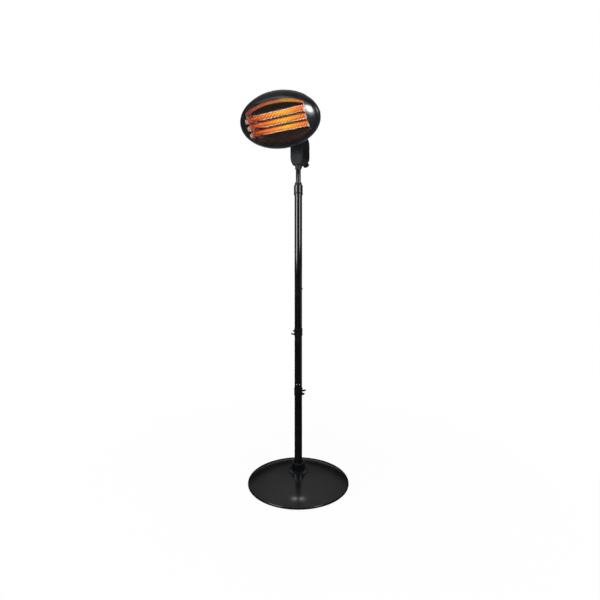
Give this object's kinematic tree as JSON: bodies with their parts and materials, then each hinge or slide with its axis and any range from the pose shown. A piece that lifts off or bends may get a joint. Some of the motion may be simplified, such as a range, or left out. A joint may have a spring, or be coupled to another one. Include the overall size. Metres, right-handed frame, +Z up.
{
  "type": "infrared patio heater tower",
  "caption": "Free-standing electric infrared patio heater: round weighted base, telescopic pole, switch box and an oval tilting head with quartz tubes behind a wire grille.",
  "frame": {"origin": "centre of the round base on the floor", "axes": "+Z up the pole, the heater head faces -Y, +X to the head's left as it faces out"},
  "size_m": [0.5, 0.5112, 1.8686],
  "materials": {
    "black_enamel": "gloss black enamel on pressed steel",
    "black_coat": "satin black powder coat on steel",
    "black_screw": "black-finished steel screws and bolts",
    "zinc_steel": "zinc-plated steel",
    "cast_weight": "painted cast iron",
    "foot_rubber": "black rubber",
    "black_plastic": "fine-grained black plastic",
    "inner_plastic": "off-white electrical plastic",
    "spindle_steel": "turned steel",
    "reflector_sheet": "bright polished aluminium sheet",
    "ceramic": null,
    "quartz": "clear quartz glass lit from inside",
    "hot_coil": "glowing heating coil"
  },
  "bodies": {
    "stand": {"base_cover": "black_enamel", "base_weight": "cast_weight", "base_feet": "foot_rubber", "pole_flange": "black_enamel", "pole_socket": "black_enamel", "foot_plug": "cast_weight", "foot_washer": "zinc_steel", "foot_bolt": "zinc_steel", "lower_tube": "black_coat", "middle_tube": "black_coat", "upper_tube": "black_coat", "joint_screws": "black_screw", "lower_cable_clip": "black_plastic", "upper_cable_clip": "black_plastic", "collar_seat": "black_plastic", "grip_collet": "black_plastic"},
    "lock_ring": {"lock_collar": "black_plastic"},
    "mast_guide": {"guide_bush": "black_plastic"},
    "mast": {"inner_tube": "black_coat", "neck": "black_plastic", "neck_nut": "black_plastic", "neck_screw": "black_screw", "control_box": "black_plastic", "control_cover": "black_plastic", "cover_screws": "black_screw", "rotary_switch": "inner_plastic", "cable_gland": "black_plastic", "gland_cap": "black_plastic", "gland_nut": "black_plastic", "terminal_block": "inner_plastic", "tip_over_switch": "inner_plastic", "tilt_knuckle": "black_coat", "knuckle_screws": "zinc_steel", "knuckle_nuts": "zinc_steel"},
    "selector": {"selector_knob": "black_plastic", "selector_spindle": "spindle_steel"},
    "head": {"friction_washers": "black_plastic", "pivot_bolt": "black_screw", "pivot_nut": "black_screw", "tilt_bracket": "black_coat", "bracket_bolts": "zinc_steel", "bracket_nuts": "zinc_steel", "bezel": "black_enamel", "rim_screws": "black_screw", "rear_shell": "black_enamel", "grille": "black_coat", "upper_apron": "reflector_sheet", "lower_apron": "reflector_sheet", "tube_reflector": "reflector_sheet", "reflector_ends": "reflector_sheet", "ceramic_holders": "ceramic", "quartz_tubes": "quartz", "heating_coils": "hot_coil", "terminal_pins": "zinc_steel", "head_chassis": "black_coat", "thermal_cutout": "inner_plastic"}
  },
  "joints": [
    {"name": "lock_turn", "type": "hinge", "parent": "stand", "child": "lock_ring", "pos_m": [0, 0, 1.467], "axis": [0, 0, 1], "range_deg": [0, 150]},
    {"name": "mast_slide", "type": "slide", "parent": "stand", "child": "mast_guide", "axis": [0, 0, 1], "range_m": [-0.06, 0.23]},
    {"name": "mast_swivel", "type": "hinge", "parent": "mast_guide", "child": "mast", "pos_m": [0, 0, 1.6], "axis": [0, 0, 1], "range_deg": [-180, 180]},
    {"name": "head_tilt", "type": "hinge", "parent": "mast", "child": "head", "pos_m": [0, -0.038, 1.75], "axis": [1, 0, 0], "range_deg": [-34.7, 15.3]},
    {"name": "selector_turn", "type": "hinge", "parent": "mast", "child": "selector", "pos_m": [0.018, 0.04534, 1.59219], "axis": [0, 0.7071, -0.7071], "range_deg": [0, 270]}
  ]
}
